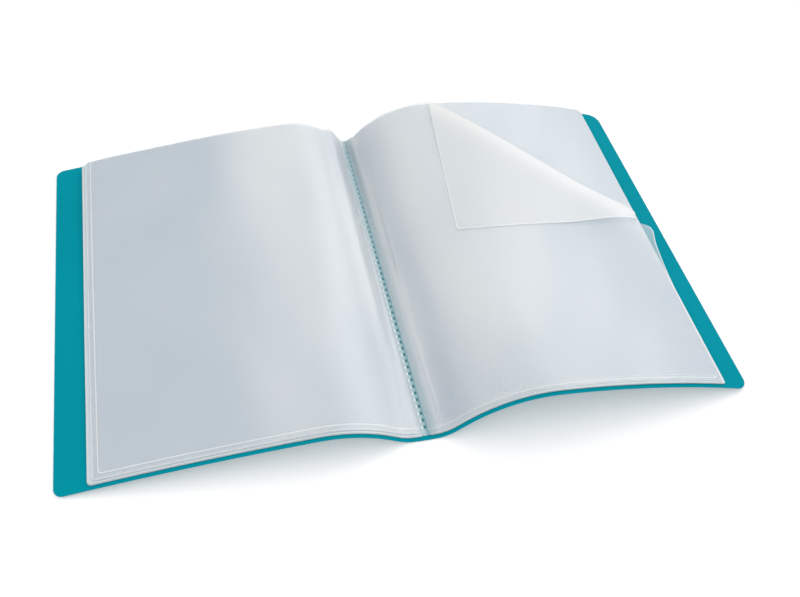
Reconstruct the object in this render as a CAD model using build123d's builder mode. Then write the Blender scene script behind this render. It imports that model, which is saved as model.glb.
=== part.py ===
from build123d import *
import os
from math import atan2, cos, degrees, radians, sin

os.makedirs("parts", exist_ok=True)

# A clear pocket display book lying open at its middle, in millimetres and degrees.
# Origin: the middle of the spine's underside. +X right, +Y from foot to head, +Z up.

# Cover: one polypropylene sheet, creased on both sides of the spine.
cover_height = 310.0
panel_width = 232.0
spine_width = 12.0
sheet = 0.8
cover_corner = 6.0
crease_gap = 0.3

# How the two halves of the cover lie: up from the crease, over a crest and down to the table.
left_cover_radius = 24.0
left_cover_rise = 8.0
left_cover_crest = 47.0
left_cover_crest_turn = -31.5
left_cover_fall_turn = -5.0
right_cover_radius = 25.0
right_cover_rise = 8.0
right_cover_crest = 66.0
right_cover_crest_turn = -40.0
right_cover_fall_turn = -14.0

# Pockets: two films each, welded along the fore edge and the foot and open at the head.
pockets_per_side = 10
film = 0.1
slot = 0.1
pocket_gap = 0.2
cover_clearance = 0.4
fore_strip = 14.0
end_margin = 3.0
pocket_corner = 3.0
seam_width = 2.0
seam_play = 0.02
fore_step = 0.3

# How the two stacks of pockets lie at the head: steeply up from the weld, over a crest and down to the cover.
# At the foot they lie along the cover, and in between the films run straight from one line to the other.
root_radius = 4.0
root_part = 0.4
root_turn = 0.34
left_pocket_rise = 9.0
left_pocket_crest = 40.0
left_pocket_crest_turn = -50.0
left_pocket_fall_turn = -6.0
right_pocket_rise = 10.0
right_pocket_crest = 58.0
right_pocket_crest_turn = -46.0
right_pocket_fall_turn = -14.0

# Gutter weld: the fused inner margins of the pockets, pressed into the spine in a row of marks.
weld_width = 6.0
weld_thickness = 0.3
root_gap = 0.15
mark_across = 3.2
mark_along = 2.2
mark_pitch = 5.7
mark_depth = 0.2
mark_margin = 4.0

# Turned corner of the top right pocket, measured from its corner along the head and the fore edge.
turned_head = 145.0
turned_fore = 150.0
turned_lift = 0.5

# A cut passes this far beyond what it cuts, and a plan outline trims this much off an edge.
overcut = 10.0
edge_trim = 0.05

# Limits and fineness of the search for a landing turn.
least_turn = 5.0
most_turn = 85.0
halvings = 60

pocket_height = cover_height - 2 * end_margin
pocket_width = spine_width / 2 + panel_width - fore_strip - weld_width / 2 - root_gap
head = pocket_height / 2
pocket_pitch = 2 * film + slot + pocket_gap
stack_height = pockets_per_side * pocket_pitch
mark_count = int((pocket_height - 2 * mark_margin) / mark_pitch) + 1
outwards = {-1: -Axis.X, 1: Axis.X}


def spot(start, bends, station, rise):
    # Walks along straight and circular stretches, then steps off the sheet at a right angle.
    across, up = start
    heading = 0.0
    for length, turn in bends:
        walked = min(station, length)
        half_swing = radians(turn) * walked / length / 2
        chord = walked * sin(half_swing) / half_swing if half_swing else walked
        across += chord * cos(heading + half_swing)
        up += chord * sin(heading + half_swing)
        heading += 2 * half_swing
        station -= walked
    return across - rise * sin(heading), up + rise * cos(heading)


def solve(miss, low, high):
    # Halves the interval until the miss, which grows with its argument, is closed.
    for _ in range(halvings):
        middle = (low + high) / 2
        low, high = (low, middle) if miss(middle) > 0 else (middle, high)
    return (low + high) / 2


def landed(start, width, radius, parts, rise, crest, crest_turn, fall_turn, height_at):
    # The first bend, in parts, turns up just so far that the sheet's far edge lies at the given height.
    def bends(turn):
        bend = radius * radians(turn)
        fall = width - bend - rise - crest
        first = ((bend * part, turn * share) for part, share in parts)
        return *first, (rise, 0.0), (crest, crest_turn), (fall, fall_turn)

    def miss(turn):
        across, up = spot(start, bends(turn), width, 0.0)
        return up - height_at(across)

    return bends(solve(miss, least_turn, most_turn))


def width_of(bends):
    return sum(length for length, _ in bends)


def along_cover(cover, reach):
    # A flat lead to the crease and then the cover's own line, set off from it, as far as the given reach.
    shape = [(length - root_height * radians(turn), turn) for length, turn in cover]
    fall, fall_turn = shape.pop()

    def bends(length):
        return (lead, 0.0), *shape, (length, fall_turn * length / fall)

    def miss(length):
        return spot(root, bends(length), width_of(bends(length)), 0.0)[0] - reach

    return bends(solve(miss, 0.0, fall))


def reach_of(lines, place):
    # How far out a pocket goes all along its fore edge.
    return min(
        spot(root, bends, width_of(bends) - place * fore_step, place * pocket_pitch)[0] for bends in lines
    ) - edge_trim


def outline(side, start, bends, first, last, low, high):
    # Closed outline of a sheet between two stations and two rises, with arcs where it bends.
    runs = []
    reached = 0.0
    for length, turn in bends:
        begin, end = max(first, reached), min(last, reached + length)
        if begin < end:
            runs.append((begin, end, turn))
        reached += length

    def point(station, rise):
        across, up = spot(start, bends, station, rise)
        return side * across, up

    with BuildLine() as edge:
        for rise in (low, high):
            for begin, end, turn in runs:
                if turn:
                    ThreePointArc(point(begin, rise), point((begin + end) / 2, rise), point(end, rise))
                else:
                    Line(point(begin, rise), point(end, rise))
        Line(point(first, low), point(first, high))
        Line(point(last, low), point(last, high))
    return edge.line


def cover_top(start, bends):
    # Height of a cover half's upper face at a distance across from the spine.
    def height(across):
        station = solve(lambda s: spot(start, bends, s, sheet)[0] - across, 0.0, panel_width)
        return spot(start, bends, station, sheet)[1]

    return height


crease = (spine_width / 2, 0.0)
one_part = ((1.0, 1.0),)
left_cover = landed(
    crease, panel_width, left_cover_radius, one_part, left_cover_rise, left_cover_crest,
    left_cover_crest_turn, left_cover_fall_turn, lambda across: 0.0)
right_cover = landed(
    crease, panel_width, right_cover_radius, one_part, right_cover_rise, right_cover_crest,
    right_cover_crest_turn, right_cover_fall_turn, lambda across: 0.0)

root_height = sheet + weld_thickness + root_gap
root = (weld_width / 2 + root_gap, root_height)
lead = crease[0] - root[0]
root_parts = ((root_part, root_turn), (1 - root_part, 1 - root_turn))
left_top = cover_top(crease, left_cover)
right_top = cover_top(crease, right_cover)
left_pocket = landed(
    root, pocket_width, root_radius + stack_height, root_parts, left_pocket_rise, left_pocket_crest,
    left_pocket_crest_turn, left_pocket_fall_turn, lambda across: left_top(across) + cover_clearance)
right_pocket = landed(
    root, pocket_width, root_radius + stack_height, root_parts, right_pocket_rise, right_pocket_crest,
    right_pocket_crest_turn, right_pocket_fall_turn, lambda across: right_top(across) + cover_clearance)
left_lines = left_pocket, along_cover(left_cover, spot(root, left_pocket, pocket_width, 0.0)[0])
right_lines = right_pocket, along_cover(right_cover, spot(root, right_pocket, pocket_width, 0.0)[0])
ends = Plane.XZ.offset(-head), Plane.XZ.offset(head)

# Spine panel between the two creases.
with BuildPart() as spine_panel:
    with BuildSketch(Plane.XY):
        Rectangle(spine_width - crease_gap, cover_height)
    extrude(amount=sheet)
spine_panel.part.label = "spine_panel"
export_step(spine_panel.part, "parts/spine_panel.step")

# Gutter weld on the spine panel, with its row of pressed marks.
with BuildPart() as gutter_weld:
    with BuildSketch(Plane.XY.offset(sheet)):
        Rectangle(weld_width, pocket_height)
    extrude(amount=weld_thickness)
    with BuildSketch(Plane.XY.offset(sheet + weld_thickness)):
        with GridLocations(mark_pitch, mark_pitch, 1, mark_count):
            Rectangle(mark_across, mark_along)
    extrude(amount=-mark_depth, mode=Mode.SUBTRACT)
gutter_weld.part.label = "gutter_weld"
export_step(gutter_weld.part, "parts/gutter_weld.step")

# Front cover on the left and back cover on the right, each bent as it lies.
for side, bends, name in ((-1, left_cover, "front_cover"), (1, right_cover, "back_cover")):
    reach = spot(crease, bends, panel_width, 0.0)[0] - edge_trim
    with BuildPart() as cover:
        with BuildSketch(Plane.XZ):
            with BuildLine():
                add(outline(side, crease, bends, crease_gap / 2, panel_width, 0.0, sheet))
            make_face()
        extrude(amount=cover_height / 2, both=True)
        with BuildSketch(Plane.XY) as plan:
            with Locations((side * reach / 2, 0)):
                Rectangle(reach, cover_height)
            fillet(plan.vertices().sort_by(outwards[side])[-2:], cover_corner)
        extrude(amount=panel_width, both=True, mode=Mode.INTERSECT)
    cover.part.label = name
    export_step(cover.part, f"parts/{name}.step")

# The top right pocket's corner is turned over along a slanting fold.
top_place = pockets_per_side - 1
top_base = top_place * pocket_pitch
top_number = pockets_per_side + 1
top_reach = reach_of(right_lines, top_place)
corner = Vector(top_reach, head)
fold_head = Vector(top_reach - turned_head, head)
fold_fore = Vector(top_reach, head - turned_fore)
fold = (fold_fore - fold_head).normalized()
fold_foot = fold_head + fold * (corner - fold_head).dot(fold)
tip = fold_foot * 2 - corner
cut_head = fold_head - fold * overcut
cut_fore = fold_fore + fold * overcut
cut_corner = corner + (corner - fold_foot).normalized() * overcut

# Pockets, numbered from the front cover: the left stack from the cover up, then the right stack down.
# Each lower film carries the welded seam that joins it to the upper film.
stacks = (
    (-1, left_lines, "front", "back"),
    (1, right_lines, "back", "front"),
)
for side, lines, lower_face, upper_face in stacks:
    for place in range(pockets_per_side):
        number = place + 1 if side < 0 else 2 * pockets_per_side - place
        base = place * pocket_pitch
        drawn_in = place * fore_step
        reach = reach_of(lines, place)
        for face, low, seamed in ((lower_face, base, True), (upper_face, base + film + slot, False)):
            with BuildPart() as pocket_film:
                for plane, bends in zip(ends, lines):
                    with BuildSketch(plane):
                        with BuildLine():
                            add(outline(side, root, bends, 0.0, width_of(bends) - drawn_in, low, low + film))
                        make_face()
                loft(ruled=True)
                if seamed:
                    seam_low, seam_high = low + film / 2, low + film + slot - seam_play
                    with BuildPart(mode=Mode.PRIVATE) as seam:
                        for plane, bends in zip(ends, lines):
                            last = width_of(bends) - drawn_in
                            with BuildSketch(plane):
                                with BuildLine():
                                    add(outline(side, root, bends, 0.0, last, seam_low, seam_high))
                                make_face()
                        loft(ruled=True)
                        with BuildSketch(Plane.XY):
                            with Locations((side * (reach - seam_width / 2), 0)):
                                Rectangle(seam_width, pocket_height)
                            with Locations((side * reach / 2, seam_width / 2 - head)):
                                Rectangle(reach, seam_width)
                        extrude(amount=panel_width, both=True, mode=Mode.INTERSECT)
                    add(seam.part)
                with BuildSketch(Plane.XY) as plan:
                    with Locations((side * reach / 2, 0)):
                        Rectangle(reach, pocket_height)
                    fillet(plan.vertices().sort_by(outwards[side])[-2:], pocket_corner)
                extrude(amount=panel_width, both=True, mode=Mode.INTERSECT)
                if number == top_number:
                    with BuildSketch(Plane.XY):
                        with BuildLine():
                            Polyline(cut_head, cut_fore, cut_corner, close=True)
                        make_face()
                    extrude(amount=panel_width, both=True, mode=Mode.SUBTRACT)
            name = f"pocket_{number:02d}_{face}_film"
            pocket_film.part.label = name
            export_step(pocket_film.part, f"parts/{name}.step")

# The turned corner lies on the top right pocket with its front film downwards.
turned_base = top_base + 2 * film + slot + turned_lift
fore_edge = tip - fold_fore
fore_middle = fold_fore + fore_edge / 2
fore_angle = degrees(atan2(fore_edge.Y, fore_edge.X))
turned_top = turned_base + film + slot
for face, low in (("front", turned_base), ("back", turned_top)):
    with BuildPart() as turned:
        for plane, bends in zip(ends, right_lines):
            with BuildSketch(plane):
                with BuildLine():
                    add(outline(1, root, bends, 0.0, width_of(bends), low, low + film))
                make_face()
        loft(ruled=True)
        with BuildSketch(Plane.XY) as plan:
            with BuildLine():
                Polyline(fold_head, fold_fore, tip, close=True)
            make_face()
            fillet(plan.vertices().sort_by_distance(tip)[:1], pocket_corner)
        extrude(amount=panel_width, both=True, mode=Mode.INTERSECT)
        if face == "back":
            seam_low, seam_high = low - slot + seam_play, low + film / 2
            with BuildPart(mode=Mode.PRIVATE) as seam:
                for plane, bends in zip(ends, right_lines):
                    with BuildSketch(plane):
                        with BuildLine():
                            add(outline(1, root, bends, 0.0, width_of(bends), seam_low, seam_high))
                        make_face()
                loft(ruled=True)
                with BuildSketch(Plane.XY):
                    add(plan.sketch)
                    with Locations((fore_middle.X, fore_middle.Y)):
                        Rectangle(fore_edge.length, 2 * seam_width, rotation=fore_angle, mode=Mode.INTERSECT)
                extrude(amount=panel_width, both=True, mode=Mode.INTERSECT)
            add(seam.part)
    name = f"pocket_{top_number:02d}_corner_{face}_film"
    turned.part.label = name
    export_step(turned.part, f"parts/{name}.step")
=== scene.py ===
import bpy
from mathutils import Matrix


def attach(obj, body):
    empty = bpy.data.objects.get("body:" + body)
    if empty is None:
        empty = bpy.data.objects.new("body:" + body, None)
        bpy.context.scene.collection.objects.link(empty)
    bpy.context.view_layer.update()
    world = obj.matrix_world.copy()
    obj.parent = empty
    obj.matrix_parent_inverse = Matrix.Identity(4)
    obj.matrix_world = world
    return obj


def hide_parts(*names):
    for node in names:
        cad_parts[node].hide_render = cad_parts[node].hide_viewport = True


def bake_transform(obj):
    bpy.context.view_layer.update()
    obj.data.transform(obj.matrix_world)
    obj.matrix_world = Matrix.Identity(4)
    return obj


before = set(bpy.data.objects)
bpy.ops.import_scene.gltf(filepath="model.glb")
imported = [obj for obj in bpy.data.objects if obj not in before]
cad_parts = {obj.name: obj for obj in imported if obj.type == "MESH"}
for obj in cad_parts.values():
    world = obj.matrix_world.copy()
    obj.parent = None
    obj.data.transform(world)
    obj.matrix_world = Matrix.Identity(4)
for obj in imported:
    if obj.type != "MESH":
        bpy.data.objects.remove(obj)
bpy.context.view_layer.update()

import bpy
import numpy as np
from mathutils import Matrix

# Clear pocket display book lying open. Sizes are in mm, angles in degrees; meshes go out in metres.
mm = 0.001
scene = bpy.context.scene
scene.view_settings.view_transform = "Standard"
scene.cycles.transparent_max_bounces = 96  # one line of sight passes some forty film faces on each side


# Lines for a grid: runs of (first, last, count) laid end to end, shared ends kept once
def gridLines(*runs):
    return np.unique(np.round(np.concatenate([np.linspace(*run) for run in runs]), 5))


# Smooth step: 0 below a, 1 above b, and 3t2 - 2t3 between
def ease(value, a, b):
    t = np.clip((value - a) / (b - a), 0, 1)
    return t * t * (3 - 2 * t)


# Bell: 1 at the middle and falling as exp(-(distance/reach)2)
def bell(distance, reach):
    return np.exp(-(distance / reach) ** 2)


# A sheet's line seen from the foot: the heading turns evenly along each stretch, softened where stretches
# meet, and the point is the running sum of the heading's cosine and sine
def walk(start, stretches, fine=0.2, soften=25):
    lengths, turns = np.array(stretches, float).T
    station = np.arange(0, lengths.sum() + fine, fine)
    ends, headings = np.cumsum(np.append(0, lengths)), np.cumsum(np.append(0, np.radians(turns)))
    heading = np.pad(np.interp(station, ends, headings), soften // 2, mode="reflect", reflect_type="odd")
    heading = np.convolve(heading, np.ones(soften) / soften, mode="valid")
    across = start[0] + np.cumsum(np.cos(heading)) * fine
    up = start[1] + np.cumsum(np.sin(heading)) * fine
    return {"station": station, "across": across, "up": up, "heading": heading}


# The first bend turns up just so far that the sheet's far edge lies at the height wanted there; the turn is
# found by halving
def land(start, lead, width, radius, lie, heightAt):
    rise, crest, crestTurn, fallTurn = lie
    leastTurn, mostTurn = 5.0, 85.0
    for halving in range(40):
        turn = (leastTurn + mostTurn) / 2
        bend = radius * np.radians(turn)
        fall = width - bend - rise - crest
        path = walk(start, [(lead, 0), (bend, turn), (rise, 0), (crest, crestTurn), (fall, fallTurn)])
        tooHigh = path["up"][-1] > heightAt(path["across"][-1])
        leastTurn, mostTurn = (leastTurn, turn) if tooHigh else (turn, mostTurn)
    return path


# A sheet's point: the line's point at a station, stepped off at a right angle by a rise
def onPath(path, station, rise):
    across, up, heading = (np.interp(station, path["station"], path[key])
                           for key in ("across", "up", "heading"))
    return across - rise * np.sin(heading), up + rise * np.cos(heading)


# Rounds the corner between two edges: a point at distances a and b from them lies on a nested L, and the
# L's corner becomes an arc whose radius fades with depth
def roundCorner(a, b, radius, depth):
    inner = np.minimum(a, b)
    r = radius * np.clip(1 - (inner / depth) ** 2, 0, 1) + 1e-9
    off = np.abs(a - b)
    swing = np.radians(45) * (1 - off / r)
    near, far = inner + r * (1 - np.cos(swing)), inner + r * (1 - np.sin(swing))
    inArc = off < r
    aRound, bRound = np.where(a <= b, near, far), np.where(a <= b, far, near)
    return np.where(inArc, aRound, a), np.where(inArc, bRound, b)


# One mesh of closed slabs. Each slab is an upper and a lower grid of points, joined round the rim; rows run
# across the book and columns from foot to head, and rows of the left half are turned so that faces look out
def slabMesh(name, slabs, materials, smoothAngle=35):
    points, faces, kinds, extras = [], [], [], {}
    count = 0
    for slab in slabs:
        upper, lower, kind, extra = slab["upper"], slab["lower"], slab.get("kind"), slab.get("extras", {})
        if upper[-1, 0, 0] < upper[0, 0, 0]:
            upper, lower = upper[::-1], lower[::-1]
            kind = None if kind is None else kind[::-1]
            extra = {key: value[::-1] for key, value in extra.items()}
        rows, columns = upper.shape[:2]
        drop = rows * columns
        top = np.arange(drop).reshape(rows, columns) + count
        low = top + drop
        count += 2 * drop
        quads = np.stack([top[:-1, :-1], top[1:, :-1], top[1:, 1:], top[:-1, 1:]], -1).reshape(-1, 4)
        under = np.stack([low[:-1, :-1], low[:-1, 1:], low[1:, 1:], low[1:, :-1]], -1).reshape(-1, 4)
        rim = np.concatenate([top[:-1, 0], top[-1, :-1], top[:0:-1, -1], top[0, :0:-1]])
        ahead = np.roll(rim, -1)
        sides = np.stack([rim + drop, ahead + drop, ahead, rim], -1)
        faces += [quads, under, sides]
        kind = np.zeros((rows - 1, columns - 1), int) if kind is None else kind
        kinds += [kind.ravel(), kind.ravel(), np.full(len(sides), slab.get("rimKind", 0))]
        points += [upper.reshape(-1, 3), lower.reshape(-1, 3)]
        for key, value in extra.items():
            extras.setdefault(key, []).extend([value.ravel(), value.ravel()])
    mesh = bpy.data.meshes.new(name)
    mesh.from_pydata((np.concatenate(points) * mm).tolist(), [], np.concatenate(faces).tolist())
    for material in materials:
        mesh.materials.append(material)
    mesh.polygons.foreach_set("material_index", np.concatenate(kinds).astype(np.int32))
    mesh.polygons.foreach_set("use_smooth", np.ones(len(mesh.polygons), bool))
    for key, values in extras.items():
        layer = mesh.attributes.new(key, "FLOAT", "POINT")
        layer.data.foreach_set("value", np.concatenate(values).astype(np.float32))
    mesh.set_sharp_from_angle(angle=np.radians(smoothAngle))
    mesh.update()
    piece = bpy.data.objects.new(name, mesh)
    scene.collection.objects.link(piece)
    return piece


# sRGB hex to the linear colour that shaders take: c/12.92 when dark, else (c + 0.055)/1.055 to the power 2.4
def colour(code):
    c = np.array([int(code[i:i + 2], 16) for i in (1, 3, 5)]) / 255
    linear = np.where(c <= 0.04045, c / 12.92, ((c + 0.055) / 1.055) ** 2.4)
    return (*(float(v) for v in linear), 1.0)


# Adds a node; plain values go to its settings, and inputs take a number, a colour or another node's socket
def addNode(tree, kind, inputs=None, **settings):
    made = tree.nodes.new(kind)
    for key, value in settings.items():
        setattr(made, key, value)
    for socket, value in (inputs or {}).items():
        if isinstance(value, bpy.types.NodeSocket):
            tree.links.new(value, made.inputs[socket])
        else:
            made.inputs[socket].default_value = value
    return made


# A new material and its node tree, emptied
def newMaterial(name):
    material = bpy.data.materials.new(name)
    material.use_nodes = True
    material.node_tree.nodes.clear()
    return material, material.node_tree


# Polypropylene sheet, extruded and run through a matte emboss roll: an even saturated colour with a low wide
# sheen, a fine grain that breaks up highlights, and slow cloudy changes of depth. The grain is drawn about a
# pixel of the picture wide, so that it shows
coverFinish = {"deep": "#0294A6", "light": "#049FB1", "cloudMm": 90, "grainMm": 0.55, "grainHigh": 0.05,
               "emboss": 0.25, "roughness": (0.5, 0.62), "ior": 1.08, "sheen": 0.3}
coverSheet, tree = newMaterial("polypropylene_matte_emboss")
spot = addNode(tree, "ShaderNodeTexCoord").outputs["Object"]
grain = addNode(tree, "ShaderNodeTexNoise", {
    "Vector": spot, "Scale": 1 / (coverFinish["grainMm"] * mm), "Detail": 2.0}).outputs["Fac"]
cloud = addNode(tree, "ShaderNodeTexNoise", {
    "Vector": spot, "Scale": 1 / (coverFinish["cloudMm"] * mm), "Detail": 3.0}).outputs["Fac"]
tone = addNode(tree, "ShaderNodeMix", {0: cloud, 6: colour(coverFinish["deep"]),
                                       7: colour(coverFinish["light"])}, data_type="RGBA")
smoothest, roughest = coverFinish["roughness"]
rough = addNode(tree, "ShaderNodeMapRange", {"Value": grain, "To Min": smoothest, "To Max": roughest})
bump = addNode(tree, "ShaderNodeBump", {"Height": grain, "Strength": coverFinish["emboss"],
                                        "Distance": coverFinish["grainHigh"] * mm})
skin = addNode(tree, "ShaderNodeBsdfPrincipled", {
    "Base Color": tone.outputs[2], "Roughness": rough.outputs[0], "Normal": bump.outputs[0],
    "IOR": coverFinish["ior"], "Specular IOR Level": coverFinish["sheen"]})
addNode(tree, "ShaderNodeOutputMaterial", {"Surface": skin.outputs[0]})


# Polypropylene film, cast thin and embossed: milky and half see-through, so that a stack of it turns pale
# blue-grey, with a soft wide sheen. Painted light mixes its colour towards white: painted highlights and
# streaks of sheen where it arches, and painted shade streaks beside the gutter. Where it runs into the
# gutter's weld the teal below tints it, partly painted shade beside the gutter, and where it is welded or cut
# it is denser. Its grain is drawn like the cover's
def filmMaterial(name, finish):
    material, tree = newMaterial(name)
    spot = addNode(tree, "ShaderNodeTexCoord").outputs["Object"]
    haze = addNode(tree, "ShaderNodeTexNoise", {
        "Vector": spot, "Scale": 1 / (finish["hazeMm"] * mm), "Detail": 1.0}).outputs["Fac"]
    grain = addNode(tree, "ShaderNodeTexNoise", {
        "Vector": spot, "Scale": 1 / (finish["grainMm"] * mm), "Detail": 1.0}).outputs["Fac"]
    # the painted light and the teal tint, partly painted shade, come from the mesh's attributes
    paintedLight = addNode(tree, "ShaderNodeAttribute", attribute_name="paintedLight")
    tealTintAndShade = addNode(tree, "ShaderNodeAttribute", attribute_name="tealTintAndShade")
    share = addNode(tree, "ShaderNodeMath", {0: haze, 1: finish["haze"], 2: paintedLight.outputs["Fac"]},
                    operation="MULTIPLY_ADD", use_clamp=True)
    tone = addNode(tree, "ShaderNodeMix", {0: share.outputs[0], 6: colour(finish["cool"]),
                                           7: colour(finish["pale"])}, data_type="RGBA")
    tone = addNode(tree, "ShaderNodeMix", {0: tealTintAndShade.outputs["Fac"], 6: tone.outputs[2],
                                           7: colour(finish["tintedAndShaded"])}, data_type="RGBA")
    smoothest, roughest = finish["roughness"]
    rough = addNode(tree, "ShaderNodeMapRange", {"Value": haze, "To Min": smoothest, "To Max": roughest})
    bump = addNode(tree, "ShaderNodeBump", {"Height": grain, "Strength": finish["emboss"],
                                            "Distance": finish["grainHigh"] * mm})
    skin = addNode(tree, "ShaderNodeBsdfPrincipled", {
        "Base Color": tone.outputs[2], "Roughness": rough.outputs[0], "Normal": bump.outputs[0],
        "IOR": finish["ior"], "Specular IOR Level": finish["gloss"], "Alpha": finish["alpha"]})
    addNode(tree, "ShaderNodeOutputMaterial", {"Surface": skin.outputs[0]})
    return material


# the painted light mixes from cool, the stack's bluish grey, up to pale as a painted highlight; the tinted
# colour is the teal below, partly painted shade
filmFinish = {"cool": "#D9E2E9", "pale": "#F2F5F7", "tintedAndShaded": "#8FB6C0", "hazeMm": 60, "haze": 0.3,
              "grainMm": 0.5, "grainHigh": 0.02, "emboss": 0.2, "roughness": (0.3, 0.42), "ior": 1.5,
              "gloss": 0.9, "alpha": 0.14}
seamFinish = {**filmFinish, "cool": "#FBFDFE", "pale": "#FFFFFF", "alpha": 0.42}
stackFinish = {**filmFinish, "alpha": 1.0}
# The turned corner's film is painted whiter and denser than the page's, a painted sheen
turnedFinish = {**filmFinish, "cool": "#F0F4F5", "pale": "#FFFFFF", "alpha": 0.36}
pocketFilm = filmMaterial("polypropylene_film_embossed", filmFinish)
weldedFilm = filmMaterial("polypropylene_film_welded", seamFinish)
stackedFilm = filmMaterial("polypropylene_film_in_the_stack", stackFinish)
turnedFilm = filmMaterial("polypropylene_film_turned", turnedFinish)
print("materials made")

# Cover: one sheet scored along both sides of the spine. A half runs flat from inside the spine, up from the
# score, over its crest and down to the table
cover = {
    "height": 310.0, "panel": 232.0, "spine": 12.0, "sheet": 0.8, "lap": 1.5,
    # lie of each half: radius of the first bend, rise, crest and its turn, and the turn of the fall
    "left": (24.0, 8.0, 47.0, -31.5, -5.0), "right": (25.0, 8.0, 66.0, -40.0, -14.0),
    "corner": {"left": 6.5, "right": 9.0}, "cornerDepth": 2.3,  # depth in radii
    "rimBand": 4, "endBand": 2, "cornerBand": 24, "scoreBand": 9,  # where the grid's lines lie closer
    "scoreHalf": 0.9, "scoreDepth": 0.16, "edgeRound": 0.22, "edgeSteps": 2, "edgeAngle": 50,
    "spineLap": 0.6, "spineSink": 0.02}  # the spine laps into the halves, a hair below their faces
scoreAt = cover["spine"] / 2
coverStart = (scoreAt - cover["lap"], 0.0)
coverPath = {side: land(coverStart, cover["lap"], cover["panel"], cover[side][0], cover[side][1:],
                        lambda across: 0.0)
             for side in ("left", "right")}


# Height of the cover's upper face: its line set off by the sheet, read at a distance across
def coverTop(side, across):
    x, z = onPath(coverPath[side], coverPath[side]["station"], cover["sheet"])
    return np.interp(across, x, z)


# Half of the cover: (station, y) on a grid with its outer corners rounded, set off the line by the sheet's
# thickness, thinned by a bell along the score; a bevel rounds its cut edges
def coverHalf(name, side, sign):
    reach, length = cover["panel"] + cover["lap"], cover["height"]
    rim, end, band = cover["rimBand"], cover["endBand"], cover["cornerBand"]
    inner = reach - cover["scoreBand"]
    fromEdge = gridLines((0, rim, 9), (rim, band, 17), (band, inner, 44), (inner, reach, 31))[::-1]
    along = gridLines((0, end, 5), (end, band, 18), (band, length - band, 40),
                      (length - band, length - end, 18), (length - end, length, 5))
    a, b = np.meshgrid(fromEdge, along, indexing="ij")
    radius = cover["corner"][side]
    a, b = roundCorner(a, b, radius, cover["cornerDepth"] * radius)
    a, fromHead = roundCorner(a, length - b, radius, cover["cornerDepth"] * radius)
    station, y = reach - a, length / 2 - fromHead
    score = cover["scoreDepth"] * bell(station - cover["lap"], cover["scoreHalf"])
    grids = []
    for rise in (cover["sheet"] - score, score):
        x, z = onPath(coverPath[side], station, rise)
        grids.append(np.stack([sign * x, y, z], -1))
    piece = slabMesh(name, [{"upper": grids[0], "lower": grids[1]}], [coverSheet])
    bevel = piece.modifiers.new("cut edge", "BEVEL")
    bevel.width, bevel.segments = cover["edgeRound"] * mm, cover["edgeSteps"]
    bevel.limit_method, bevel.angle_limit = "ANGLE", np.radians(cover["edgeAngle"])
    return piece


coverHalves = (("left", -1, "frontCover", "front_cover"), ("right", 1, "backCover", "back_cover"))
for side, sign, name, body in coverHalves:
    half = coverHalf(name, side, sign)
    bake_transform(half)
    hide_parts(body)

spineHalf = coverStart[0] + cover["spineLap"]
spineX, spineY = np.meshgrid(gridLines((-spineHalf, spineHalf, 7)),
                             gridLines((-cover["height"] / 2, cover["height"] / 2, 32)), indexing="ij")
spineTop, spineLow = (np.stack([spineX, spineY, np.full_like(spineX, up)], -1)
                      for up in (cover["sheet"] - cover["spineSink"], cover["spineSink"]))
spine = slabMesh("spine", [{"upper": spineTop, "lower": spineLow}], [coverSheet])
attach(spine, "spine")
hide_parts("spine_panel")
print("cover made")

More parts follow.
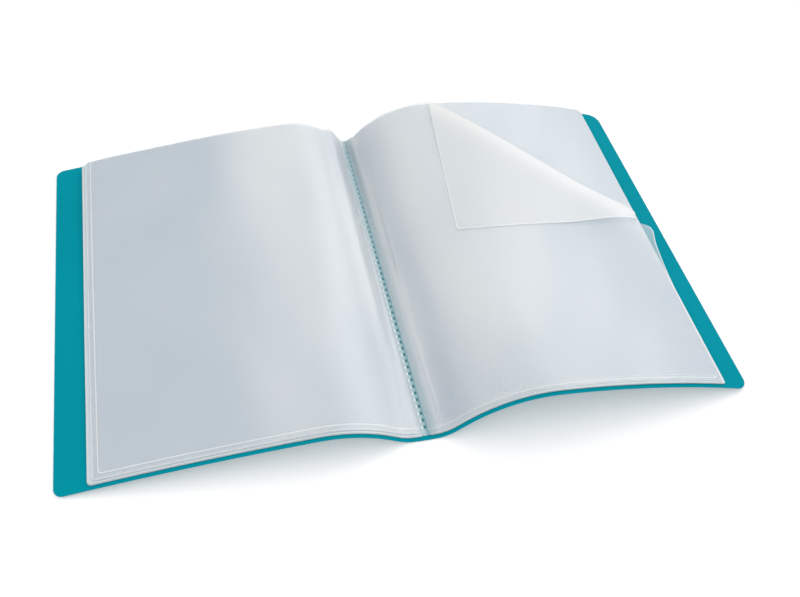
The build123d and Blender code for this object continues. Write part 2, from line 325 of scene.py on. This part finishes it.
# Pockets: ten a side. All are fused thin at the gutter, fan out to fill the wedge above the cover, and lie
# over each other to the fore edge, each a little short of the one below
pocket = {
    "perSide": 10, "clearOnes": 2, "film": 0.1, "slot": 0.1, "gap": 0.2, "clear": 0.4,
    "height": 304.0, "width": {"left": 219.9, "right": 217.9}, "corner": 3.0, "cornerDepth": 12,
    # lie of each stack: rise, crest and its turn, and the turn of the fall
    "left": (9.0, 40.0, -50.0, -6.0), "right": (10.0, 58.0, -46.0, -14.0), "thin": 1.6, "footClear": 0.3,
    # the root at the gutter, and the wedge below the stack, which begins beside the score
    "rootAt": {"left": 1.3, "right": 3.15}, "rootUp": 1.25, "rootLead": 0.01, "rootRadius": 4.0,
    "rootShare": 0.12, "rootFan": 22.0, "rootSettle": 8,
    "wedgeFill": 0.85, "wedgeCurve": 1.5, "wedgeFrom": -1, "wedgeFull": 6,
    # shoulder beside the gutter: its lift, place, reach and the y from which it grows
    "shoulder": {"left": (6.5, 8.5, 5.5, -120.0), "right": (2.5, 6.0, 5.0, -60.0)},
    "shoulderRoot": 5, "shoulderLow": 0.4,
    # closing over the gutter at the head
    "shutFrom": 136.0, "shutLift": 3.2, "shutReach": 9.0, "pinch": 1.4, "pinchReach": 6.0,
    # ripples: a wander along y is a size, a run and a start, and a swell is a place, reach, height and
    # wander; rippled is how much a side has of the ridge, the swells and the waves
    "ridgeAt": 14, "ridgeReach": 1.7, "ridgeHigh": 0.75, "ridgeWander": (1.6, 37, 0.6),
    "ridgeChange": (0.45, 23, 1.0), "swells": ((36, 8, 0.9, (4, 61, 0)), (62, 7, 0.5, (5, 47, 2))),
    "waveHigh": 0.3, "waveRuns": (17, 71), "waveBend": (0.9, 43, 0), "waveAcross": (25, 70), "calmEdge": 25,
    "rippled": {"left": (0.4, 0, 0.8), "right": (1, 1, 1)},
    # edges: steps from pocket to pocket, strays, and the upper pockets set back as a bundle
    "foreStep": 0.12, "foreStray": 0.3, "foreWave": (0.6, 58), "footStep": 0.1, "footOut": 0.4,
    "footStray": 0.2, "stepFade": 60,
    "bundle": 5, "bundleFore": {"left": 2.5, "right": 0.6}, "bundleFoot": 1.5,
    # seam along the fore edge and the foot, and the gape at the head, which is less in the deeper pockets
    "seamAt": 3.7, "seamWide": 0.6, "seamTouch": 0.2, "seamPart": 1.4,
    "gape": 0.25, "gapeLong": 40, "gapeFore": (5, 60), "gapeRoot": (10, 60), "gapeDeeper": 0.2,
    # painted light, which paints highlights, sheen and shade into the film's colour: its base, the arch's
    # share at the foot and what the head adds, and ends of smooth steps; a streak, a painted highlight where
    # its share is above
    # 0 and painted shade where it is below, is a place, reach, share and how far it follows the sway, and a
    # wave a height and two runs
    "sway": ((5, 60, 0), (2, 23, 1)),
    "paintedLight": {
        "left": {"base": -0.1, "arch": (0.5, 0.25), "archAlong": (-120, 40), "archAcross": (85, 140),
                 "streaks": ((68, 20, 0.2, 1),), "streakAlong": (-60, 120),
                 "slow": (0.07, 19, 33), "quick": (0.06, 9, -41), "quickBend": (1, 29, 0)},
        "right": {"base": -0.05, "arch": (0, 0.45), "archAlong": (-165, -60), "archAcross": (70, 150),
                  "streaks": ((11, 4, 0.35, 1 / 3), (24, 9, -0.2, 1), (50, 16, 0.2, 1), (110, 70, 0.35, 0)),
                  "slow": (0.08, 15, 40), "quick": (0.06, 8, -27), "quickBend": (1, 31, 0),
                  "waveAcross": (60, 120)}},
    # the rim painted pale as a highlight, and the teal tints as share and reach, beside the gutter partly
    # painted shade
    "paleRim": (0.3, 1.5), "tealTintAndShade": {"left": (0.2, 2.5), "right": (0.4, 8), "rim": (0.3, 4)}}
height = pocket["height"]
pitch = 2 * pocket["film"] + pocket["slot"] + pocket["gap"]
stack = pocket["perSide"] * pitch
lastPlace = pocket["perSide"] - 1
pocketPath = {side: land((pocket["rootAt"][side], pocket["rootUp"]), pocket["rootLead"],
                         pocket["width"][side], pocket["rootRadius"] + stack, pocket[side],
                         lambda across: coverTop(side, across) + pocket["clear"])
              for side in ("left", "right")}


# A wander along the book: a size times the sine of y over a run, from a start
def wander(y, size, run, start):
    return size * np.sin(y / run + start)


# Soft ripples of a page: a ridge beside the gutter that wanders along it and dies out in places, low swells
# behind it, all bells, and slow slanting sine waves over the rest; they end at the fore edge and the foot
def ripple(side, station, y):
    fromRidge = station - pocket["ridgeAt"] - wander(y, *pocket["ridgeWander"])
    ridge = bell(fromRidge, pocket["ridgeReach"]) * (pocket["ridgeHigh"] + wander(y, *pocket["ridgeChange"]))
    swell = sum(high * bell(station - at - wander(y, *drift), reach)
                for at, reach, high, drift in pocket["swells"])
    runAcross, runAlong = pocket["waveRuns"]
    slant = np.sin(station / runAcross + y / runAlong + wander(y, *pocket["waveBend"]))
    waves = pocket["waveHigh"] * (1 + slant) * ease(station, *pocket["waveAcross"])
    within = ease(pocket["width"][side] - station, 0, pocket["calmEdge"]) \
        * ease(y + height / 2, 0, pocket["calmEdge"])
    ofRidge, ofSwell, ofWaves = pocket["rippled"][side]
    return (ofRidge * ridge + ofSwell * swell + ofWaves * waves) * within


# How far the top of the stack stands off its line: fused low at the root, and beyond it a smooth step up
def crown(station):
    return stack * (pocket["rootShare"] + (1 - pocket["rootShare"]) * ease(station, 0, pocket["rootFan"]))


# How far a level of the stack stands off the line: the crown less an even share of the thin stack below it
def stackRise(station, level):
    return crown(station) - (1 - level) * np.minimum(pocket["thin"], crown(station))


# At the head the weld stops short and both stacks close over the gutter: a smooth step from 0 to 1
def shut(y):
    return ease(y, pocket["shutFrom"], height / 2)


# The closing lifts the gutter: a bell across it
def gutterLift(x, y):
    return pocket["shutLift"] * shut(y) * bell(x, pocket["shutReach"])


# A film's point at a station and a level in the stack, 0 on the cover and 1 on top: at the head the stack
# arches free of the cover, its lower films sagging into the wedge below, and at the foot it lies on the
# cover; between the two it changes evenly. Beside the gutter it has a rounded shoulder that grows towards
# the head
def stackPoint(side, station, y, level):
    path = pocketPath[side]
    x, z = onPath(path, station, stackRise(station, level))
    baseX, baseZ = onPath(path, station, stackRise(station, 0.0))
    free = np.clip(baseZ - coverTop(side, baseX) - pocket["clear"], 0, None) \
        * ease(baseX, scoreAt + pocket["wedgeFrom"], scoreAt + pocket["wedgeFull"])
    atHead = z - pocket["wedgeFill"] * free * np.clip(1 - level, 0, None) ** pocket["wedgeCurve"]
    rootOff = pocket["rootUp"] - cover["sheet"] - pocket["footClear"]
    atFoot = coverTop(side, x) + pocket["footClear"] + level * np.minimum(pocket["thin"], crown(station)) \
        + rootOff * (1 - ease(station, 0, pocket["rootSettle"]))
    towardsFoot = np.clip(0.5 - y / height, 0, 1)
    lift, place, reach, begins = pocket["shoulder"][side]
    lifted = lift * bell(x - place, reach) * ease(station, 0, pocket["shoulderRoot"]) \
        * ease(y, begins, height / 2) * (pocket["shoulderLow"] + (1 - pocket["shoulderLow"]) * level)
    z = atHead + (atFoot - atHead) * towardsFoot + ripple(side, station, y) * level ** 2 + lifted
    pinched = pocket["pinch"] * shut(y) * bell(station, pocket["pinchReach"])
    return x - pinched, z + gutterLift(x, y)


# Painted light on a film: 0 leaves the stack's bluish grey and 1 paints it white. It is about 1 where it
# arches free, a painted sheen, and it is smooth steps out from the gutter, bells for streaks of painted
# highlight and painted shade along it, and faint slanting sine waves of painted sheen
def paintedLightAt(side, station, y):
    paintedLight = pocket["paintedLight"][side]
    sway = sum(wander(y, *part) for part in pocket["sway"])
    atFoot, headAdds = paintedLight["arch"]
    arch = atFoot + headAdds * ease(y, *paintedLight["archAlong"])
    streaks = sum(share * bell(station - at + follow * sway, reach)
                  for at, reach, share, follow in paintedLight["streaks"])
    slowHigh, slowAcross, slowAlong = paintedLight["slow"]
    quickHigh, quickAcross, quickAlong = paintedLight["quick"]
    waves = slowHigh * np.sin(station / slowAcross + y / slowAlong) \
        + quickHigh * np.sin(station / quickAcross + y / quickAlong + wander(y, *paintedLight["quickBend"]))
    if side == "left":
        streaks = streaks * ease(y, *paintedLight["streakAlong"])
    else:
        waves = waves * ease(station, *paintedLight["waveAcross"])
    return arch * (1 - ease(station + sway, *paintedLight["archAcross"])) + streaks + paintedLight["base"] + waves


# How far the teal below tints a film: a share at the gutter or the rim that falls to 0 by a smooth step.
# Beside the gutter it is partly painted shade. It reaches further on the right, where fewer films lie over
# the teal
def tealTintAndShadeAt(key, distance):
    share, reach = pocket["tealTintAndShade"][key]
    return share * (1 - ease(distance, 0, reach))


# How far two films are apart beside a seam: 0 on it and 1 away from it, by a smooth step
def parted(fromEdge):
    fromSeam = np.abs(fromEdge - pocket["seamAt"] - pocket["seamWide"] / 2)
    return ease(fromSeam, pocket["seamTouch"], pocket["seamPart"])


# Grid lines by distance from the fore edge and from the foot, close at the seam, the gutter and the head
seamEdges = (pocket["seamAt"], pocket["seamAt"] + pocket["seamWide"])
seamRuns = ((0, seamEdges[0], 6), (*seamEdges, 3), (seamEdges[1], 16, 7))
wide = max(pocket["width"].values())
fore = gridLines(*seamRuns, (16, wide - 44, 30), (wide - 44, wide - 8, 26), (wide - 8, wide, 9))
foot = gridLines(*seamRuns, (16, height - 16, 34), (height - 16, height - 3, 6), (height - 3, height, 6))

# Turned corner of the top right pocket: a fold from the head to the fore edge, its corner laid back on the
# page. The fold is a roll, and its fore end stands up, drawn in at the fold and out just below it
turned = {
    "head": 138.6, "fore": 152.0, "roll": 1.6, "swell": 1.2, "swellReach": 20.0, "settle": 70.0, "rest": 0.4,
    "endLift": 8.0, "endReach": 40.0, "endWide": 70, "endIn": 8.0, "endInReach": 5.0, "endOut": 2.2,
    "endOutAt": 9.0, "slip": 12.0, "crest": 13.0, "straight": 20, "bend": 26}
topLevel = (stack - pitch + 2 * pocket["film"] + pocket["slot"]) / stack
topWidth = pocket["width"]["right"] - pocket["bundleFore"]["right"] - lastPlace * pocket["foreStep"]
topReach = float(onPath(pocketPath["right"], topWidth, stackRise(topWidth, topLevel))[0])
foldHead = np.array([topReach - turned["head"], height / 2])
foldFore = np.array([topReach, height / 2 - turned["fore"]])
foldAlong = (foldFore - foldHead) / np.linalg.norm(foldFore - foldHead)
foldIn = np.array([foldAlong[1], -foldAlong[0]])  # square to the fold, towards the page that stays


# Distance from the fold in plan: the offset from its head end, measured square to it
def fromFold(x, y):
    return (x - foldHead[0]) * foldIn[0] + (y - foldHead[1]) * foldIn[1]


# Lift of the fold's fore end: a bell along the fore edge that runs out across the page by a smooth step
def endLift(x, y):
    return turned["endLift"] * bell(foldFore[1] - y, turned["endReach"]) \
        * ease(x, topReach - turned["endWide"], topReach)


# How the page rises to the fold: a quarter circle of the roll, a soft swell before it, and its end's lift
def pageLift(x, y):
    away, roll = fromFold(x, y).clip(0, None), turned["roll"]
    quarter = roll - np.sqrt(roll ** 2 - (roll - np.minimum(away, roll)) ** 2)
    return quarter + turned["swell"] * bell(away, turned["swellReach"]) + endLift(x, y)


# The fold's roll draws the fore edge in beside it, and just below the lifted edge stands out: a bell for each
def drawnIn(x, y):
    below = foldFore[1] - y
    shift = turned["endOut"] * bell(below - turned["endOutAt"], turned["endOutAt"]) \
        - turned["endIn"] * bell(below, turned["endInReach"])
    return x + shift * ease(x, topReach - turned["endWide"], topReach)


# Which faces of a pocket show as welded film: 1 on its seams, 0 elsewhere
def seamFaces(side):
    foreMiddle, footMiddle = (fore[:-1] + fore[1:]) / 2, (foot[:-1] + foot[1:]) / 2
    onFore = (foreMiddle > seamEdges[0]) & (foreMiddle < seamEdges[1])
    onFoot = (footMiddle > seamEdges[0]) & (footMiddle < seamEdges[1])
    welded = onFoot[None] & (foreMiddle > seamEdges[0])[:, None]
    if side == "left":  # on the right the light hides the seam along the fore edge
        welded = welded | (onFore[:, None] & (footMiddle > seamEdges[0])[None])
    return welded.astype(int)


# One pocket: two films on the grid of distances a from the fore edge and b from the foot, with rounded
# corners. They touch along the seam and gape a little at the head
def makePocket(number, side, place):
    sign = -1 if side == "left" else 1
    isTurned = side == "right" and place == lastPlace
    isClear = place >= pocket["perSide"] - pocket["clearOnes"]
    isUpper = place >= pocket["bundle"]
    stray = np.sin(2.4 * number + np.arange(3) * 1.7)  # three numbers from -1 to 1 that differ by pocket
    a, b = np.meshgrid(fore, foot, indexing="ij")
    a, b = roundCorner(a, b, pocket["corner"], pocket["cornerDepth"])
    if not isTurned:
        a, fromHead = roundCorner(a, height - b, pocket["corner"], pocket["cornerDepth"])
        b = height - fromHead
    fade = pocket["stepFade"]
    astray = stray[0] + wander(b, *pocket["foreWave"], 3 * stray[1])
    edgeWave = pocket["foreStray"] * astray * (1 - ease(a, 0, fade))
    width = pocket["width"][side] - place * pocket["foreStep"] - isUpper * pocket["bundleFore"][side]
    station = width - a - edgeWave + (wide - width) * ease(a, fade, wide)  # all run to the root
    footEdge = place * pocket["footStep"] - pocket["footOut"] + pocket["footStray"] * stray[2] \
        + isUpper * pocket["bundleFoot"]
    y = b - height / 2 + footEdge * (1 - ease(b, 0, fade))
    between = pocket["slot"] * parted(a) * parted(b)
    if isTurned:  # the lines above the straight foot are drawn down to the fold
        x = stackPoint(side, station, y, topLevel)[0]
        foldY = foldHead[1] + (x - foldHead[0]) * foldAlong[1] / foldAlong[0]
        ceiling, straight = np.clip(foldY, None, height / 2) + height / 2, turned["straight"]
        drawn = straight + (b - straight) * (ceiling - straight) / (height - straight)
        b = np.where(b < straight, b, drawn)
        y = b - height / 2
    else:
        gape = pocket["gape"] * ease(b, height - pocket["gapeLong"], height) \
            * ease(a, *pocket["gapeFore"]) * ease(station, *pocket["gapeRoot"])
        between = between + gape * (1 if place == lastPlace else pocket["gapeDeeper"])
    kind = seamFaces(side)
    if isTurned:
        kind[0] = 1  # its lifted fore edge shows as a fine pale line
    if not isClear:  # deeper films let nothing through
        kind[:] = 2
    # Painted light on the page: painted highlights, sheen and shade, and the rim painted pale as a highlight
    fromRim = np.minimum(a, b)
    paintedLight = np.maximum(paintedLightAt(side, station, y), 1 - ease(fromRim, *pocket["paleRim"]))
    # the teal tint, partly painted shade beside the gutter
    tealTintAndShade = tealTintAndShadeAt(side, station) + (0 if isClear else tealTintAndShadeAt("rim", fromRim))
    lowerFilm = place * pitch
    upperFilm = lowerFilm + pocket["film"] + between
    slabs = []
    for low in (lowerFilm, upperFilm):
        grids = []
        for rise in (low + pocket["film"], low):
            x, z = stackPoint(side, station, y, rise / stack)
            if isTurned:
                z = z + pageLift(x, y)
                x = drawnIn(x, y)
            grids.append(np.stack([sign * x, y, z], -1))
        slabs.append({"upper": grids[0], "lower": grids[1], "kind": kind, "rimKind": 1,
                      "extras": {"paintedLight": paintedLight, "tealTintAndShade": tealTintAndShade}})
    piece = slabMesh(f"pocket{number:02d}", slabs, [pocketFilm, weldedFilm, stackedFilm])
    piece.visible_shadow = not isClear  # clear film lets nearly all light through
    body = f"pocket_{number:02d}"
    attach(piece, body)
    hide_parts(f"{body}_front_film", f"{body}_back_film")


for place in range(pocket["perSide"]):
    makePocket(place + 1, "left", place)
    makePocket(2 * pocket["perSide"] - place, "right", place)
print("pockets made")

# The turned corner itself: a triangle on the grid of distances inward from its fore edge and along it, laid
# over the page. Its height is the roll's upper half at the fold, then a smooth fall to the page
pageCorner = np.array([topReach, height / 2])
cornerFoot = foldHead + foldAlong * np.dot(pageCorner - foldHead, foldAlong)
tip = 2 * cornerFoot - pageCorner
toHead, toFore = foldHead - tip, foldFore - tip
headLength, foreLength = np.linalg.norm(toHead), np.linalg.norm(toFore)
fromFore = gridLines(*seamRuns, (16, headLength - 1, 40))
foreShare = 1 - gridLines((0, 0.02, 12), (0.02, 0.12, 14), (0.12, 0.5, 16), (0.5, 0.97, 16),
                          (0.97, 1, 7))[::-1]
inward, along = np.meshgrid(fromFore, foreShare, indexing="ij")
along = along * foreLength * (1 - inward / headLength)
inward, along = roundCorner(inward, along, pocket["corner"], pocket["cornerDepth"])
flapX = tip[0] + toHead[0] / headLength * inward + toFore[0] / foreLength * along
flapY = tip[1] + toHead[1] / headLength * inward + toFore[1] / foreLength * along
away, roll = fromFold(flapX, flapY).clip(0, None), turned["roll"]
lineStation = pocketPath["right"]["station"]
lineX = onPath(pocketPath["right"], lineStation, stackRise(lineStation, topLevel))[0]
pageZ = stackPoint("right", np.interp(flapX, lineX, lineStation), flapY, topLevel)[1]
upperHalf = roll + np.sqrt(np.clip(roll ** 2 - (roll - np.minimum(away, roll)) ** 2, 0, None))
falling = turned["rest"] + (2 * roll - turned["rest"]) * (1 - ease(away, roll, turned["settle"]))
flapZ = pageZ + np.where(away < roll, upperHalf, falling) \
    + turned["swell"] * bell(away, turned["swellReach"]) + endLift(flapX, flapY)
flapOut = drawnIn(flapX, flapY)
flapY = flapY - turned["slip"] * ease(away, 0, away.max())
# Painted highlight: the bend along the fold is painted whiter through the painted light attribute
crest = bell(away - roll, turned["crest"])  # the bend along the fold catches the light
kind = np.zeros((len(fromFore) - 1, len(foreShare) - 1), int)
kind[0], kind[:, 0] = 1, 1  # the cut edges show as a fine pale line
slabs = []
for low in (0, pocket["film"] + pocket["slot"] * parted(inward)):
    grids = [np.stack([flapOut, flapY, flapZ + rise], -1)[::-1] for rise in (low + pocket["film"], low)]
    slabs.append({"upper": grids[0], "lower": grids[1], "kind": kind[::-1], "rimKind": 1,
                  "extras": {"paintedLight": crest[::-1], "tealTintAndShade": 0 * crest}})
flap = slabMesh("turnedCorner", slabs, [turnedFilm, weldedFilm])
flap.visible_shadow = False
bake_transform(flap)
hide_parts("pocket_11_corner_front_film", "pocket_11_corner_back_film")
print("turned corner made")

# Gutter weld: the fused inner margins, a shallow trough between the roots with a row of pressed marks. Its
# height is the sheet and the film, walls up to the roots by smooth steps and a tuck below the films' roots
weld = {
    "underLeft": 1.8, "underRight": 0.45, "wall": 0.85, "wallFrom": 0.2, "tuck": 0.8, "tuckWithin": 0.9,
    "thick": 0.28, "slack": 0.02, "length": 304.0, "margin": 4.0, "pitch": 5.7, "linesPerMark": 12,
    "markAt": 0.8, "across": 3.2, "along": 2.7, "depth": 0.2, "soft": (-0.4, 0.15),
    "lip": 0.12, "lipAt": 0.25, "lipReach": 0.3,
    # tones: ends of the smooth steps across the book and along it, and each tone's share at the head
    # the shade and the shine are painted light: painted shade on one side of each pressed mark, a painted
    # highlight on the other
    "tealAndShadeAcross": (-0.9, 2.2), "paintedShadeAcross": (-0.4, 0.2), "paintedGlintAcross": (-0.8, -0.1),
    # the teal is partly the cover seen through the film and partly painted shade beside the right root
    "footward": (-150, 60), "toneAtHead": {"tealAndShade": 0.7, "paintedShade": 0.5, "paintedGlint": 0.15}}
marks = int((weld["length"] - 2 * weld["margin"]) / weld["pitch"]) + 1
leftRoot, rightRoot = -pocket["rootAt"]["left"], pocket["rootAt"]["right"]
markEdges = weld["markAt"] - weld["across"] / 2, weld["markAt"] + weld["across"] / 2
weldX = gridLines((leftRoot - weld["underLeft"], leftRoot, 8), (leftRoot, markEdges[0], 5), (*markEdges, 25),
                  (markEdges[1], rightRoot, 6), (rightRoot, rightRoot + weld["underRight"], 4))
weldY = gridLines((-weld["length"] / 2, weld["length"] / 2, marks * weld["linesPerMark"] + 1))
wx, wy = np.meshgrid(weldX, weldY, indexing="ij")
middle = (marks - 1) / 2
nearest = (np.round(wy / weld["pitch"] + middle).clip(0, marks - 1) - middle) * weld["pitch"]
across, along = wx - weld["markAt"], wy - nearest
edge = np.maximum(np.abs(across) - weld["across"] / 2, np.abs(along) - weld["along"] / 2)  # below 0 in a mark
press = (1 - ease(edge, *weld["soft"])) * (1 - shut(wy))
lip = bell(edge - weld["lipAt"], weld["lipReach"]) * (1 - shut(wy))
wall = np.where(wx < 0, ease(-wx, -markEdges[0] - weld["wallFrom"], -leftRoot),
                ease(wx, markEdges[1] - weld["wallFrom"], rightRoot))
tuck = weld["tuck"] * ease(np.maximum(leftRoot - wx, wx - rightRoot), 0, weld["tuckWithin"])
weldZ = cover["sheet"] + weld["thick"] + weld["wall"] * wall - tuck + gutterLift(wx, wy)
weldTop = np.stack([wx, wy, weldZ - weld["depth"] * press + weld["lip"] * lip * (1 - wall)], -1)
weldLow = np.stack([wx, wy, weldZ - weld["thick"] + weld["slack"] * (1 - press)], -1)
# Painted light in the weld's colour: a painted highlight on the lit side of each mark and painted shade on
# the other
weldTones = {"tealAndShade": ease(wx, *weld["tealAndShadeAcross"]),  # the milky margin thins out to the right
             "paintedShade": press * ease(across, *weld["paintedShadeAcross"]),
             "paintedGlint": press * (1 - ease(across, *weld["paintedGlintAcross"]))}  # the side that faces the light
footward = ease(-wy, *weld["footward"])
for key, atHead in weld["toneAtHead"].items():  # all three are stronger towards the foot
    weldTones[key] = weldTones[key] * (atHead + (1 - atHead) * footward)

# Fused film: several layers melted to one, clearer than loose film so that the teal below tints it; beside
# the marks on the right that teal is partly painted shade. It is pressed thin and glossy in the marks, where
# one side carries a painted highlight and the other painted shade in a dark teal, partly the cover's colour
# showing through. The melt has left it faintly uneven
weldFinish = {"milky": "#C6DADF", "tealAndShade": "#98BAC4", "paintedShade": "#1D7883", "paintedGlint": "#F4FAFB",
              "flowMm": 2.5, "flowHigh": 0.04, "flow": 0.3, "roughness": (0.22, 0.38), "ior": 1.49}
fusedFilm, tree = newMaterial("polypropylene_film_fused")
tone = colour(weldFinish["milky"])
for key in weldTones:
    share = addNode(tree, "ShaderNodeAttribute", attribute_name=key)
    tone = addNode(tree, "ShaderNodeMix", {0: share.outputs["Fac"], 6: tone, 7: colour(weldFinish[key])},
                   data_type="RGBA").outputs[2]
spot = addNode(tree, "ShaderNodeTexCoord").outputs["Object"]
flow = addNode(tree, "ShaderNodeTexNoise", {
    "Vector": spot, "Scale": 1 / (weldFinish["flowMm"] * mm), "Detail": 2.0}).outputs["Fac"]
smoothest, roughest = weldFinish["roughness"]
rough = addNode(tree, "ShaderNodeMapRange", {"Value": flow, "To Min": smoothest, "To Max": roughest})
bump = addNode(tree, "ShaderNodeBump", {"Height": flow, "Strength": weldFinish["flow"],
                                        "Distance": weldFinish["flowHigh"] * mm})
skin = addNode(tree, "ShaderNodeBsdfPrincipled", {
    "Base Color": tone, "Roughness": rough.outputs[0], "Normal": bump.outputs[0], "IOR": weldFinish["ior"]})
addNode(tree, "ShaderNodeOutputMaterial", {"Surface": skin.outputs[0]})
gutterWeld = slabMesh("gutterWeld", [{"upper": weldTop, "lower": weldLow, "extras": weldTones}], [fusedFilm])
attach(gutterWeld, "spine")
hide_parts("gutter_weld")
print("gutter weld made")


# Turns and moves an object: its three axes and its place, in metres, are the columns of its matrix
def setPlace(item, xAxis, yAxis, zAxis, at):
    columns = np.eye(4)
    columns[:3] = np.stack([xAxis, yAxis, zAxis, at], -1)
    item.matrix_world = Matrix(columns.tolist())


# Camera where the photograph was taken from: the focal length is in pixels of an 800 pixel wide picture
lens = {"at": (-120.54, -520.79, 549.54), "yaw": 14.898, "pitch": 47.213, "roll": 3.499, "focal": 1020.93,
        "picture": 800, "sensor": 36.0, "near": 0.05, "far": 20}  # near and far in metres
yaw, pitchDown, rollOver = np.radians([lens["yaw"], lens["pitch"], lens["roll"]])
forward = np.array([np.sin(yaw) * np.cos(pitchDown), np.cos(yaw) * np.cos(pitchDown), -np.sin(pitchDown)])
right = np.array([np.cos(yaw), -np.sin(yaw), 0.0])
upward = np.cross(right, forward)
cameraRight = right * np.cos(rollOver) + upward * np.sin(rollOver)
cameraUp = upward * np.cos(rollOver) - right * np.sin(rollOver)
cameraData = bpy.data.cameras.new("camera")
cameraData.sensor_width, cameraData.lens = lens["sensor"], lens["focal"] * lens["sensor"] / lens["picture"]
cameraData.clip_start, cameraData.clip_end = lens["near"], lens["far"]
camera = bpy.data.objects.new("camera", cameraData)
setPlace(camera, cameraRight, cameraUp, -forward, np.array(lens["at"]) * mm)
scene.collection.objects.link(camera)
scene.camera = camera

# Studio, in metres: a pale sweep below, an even pale world, a large soft lamp from behind on the right and a
# weak one in front. A lamp has a name, a place, a size and a power
studio = {"floor": "#FBFBFC", "floorHalf": 40.0, "floorAt": -0.0003, "floorGlow": 0.25, "floorRough": 0.9,
          "floorSheen": 0.1, "world": 0.75,
          "lamps": (("key", (2.4, 2.1, 2.3), 2.2, 30.0), ("fill", (-1.6, -2.2, 2.6), 2.0, 12.0))}


# 1 for rays from the camera or off a gloss or through a clear film, which show the backdrop as white, else 0:
# the largest of the three
def seenDirectly(tree):
    rays = addNode(tree, "ShaderNodeLightPath").outputs
    both = addNode(tree, "ShaderNodeMath", {0: rays["Is Camera Ray"], 1: rays["Is Glossy Ray"]},
                   operation="MAXIMUM")
    return addNode(tree, "ShaderNodeMath", {0: both.outputs[0], 1: rays["Is Transmission Ray"]},
                   operation="MAXIMUM").outputs[0]


floorMesh = bpy.data.meshes.new("floor")
floorCorners = [(x * studio["floorHalf"], y * studio["floorHalf"], studio["floorAt"])
                for x, y in ((-1, -1), (1, -1), (1, 1), (-1, 1))]
floorMesh.from_pydata(floorCorners, [], [(0, 1, 2, 3)])
# Matt paper: an even white without a sheen, which glows a little where it is seen directly
paper, tree = newMaterial("matt_paper_sweep")
glow = addNode(tree, "ShaderNodeMath", {0: seenDirectly(tree), 1: studio["floorGlow"]}, operation="MULTIPLY")
skin = addNode(tree, "ShaderNodeBsdfPrincipled", {
    "Base Color": colour(studio["floor"]), "Roughness": studio["floorRough"],
    "Specular IOR Level": studio["floorSheen"], "Emission Color": (1, 1, 1, 1),
    "Emission Strength": glow.outputs[0]})
addNode(tree, "ShaderNodeOutputMaterial", {"Surface": skin.outputs[0]})
floorMesh.materials.append(paper)
floor = bpy.data.objects.new("floor", floorMesh)
scene.collection.objects.link(floor)
world = bpy.data.worlds.new("studio")
scene.world = world
world.use_nodes = True
tree = world.node_tree
tree.nodes.clear()
light = addNode(tree, "ShaderNodeMapRange", {
    "Value": seenDirectly(tree), "To Min": studio["world"], "To Max": 1.0})
sky = addNode(tree, "ShaderNodeBackground", {"Color": (1, 1, 1, 1), "Strength": light.outputs[0]})
addNode(tree, "ShaderNodeOutputWorld", {"Surface": sky.outputs[0]})
for name, at, size, power in studio["lamps"]:
    lampData = bpy.data.lights.new(name, "AREA")
    lampData.size, lampData.energy = size, power
    lamp = bpy.data.objects.new(name, lampData)
    towards = np.array(at) / np.linalg.norm(at)
    sideways = np.cross((0, 0, 1), towards)
    sideways = sideways / np.linalg.norm(sideways)
    setPlace(lamp, sideways, np.cross(towards, sideways), towards, at)
    scene.collection.objects.link(lamp)
print("camera and studio set")
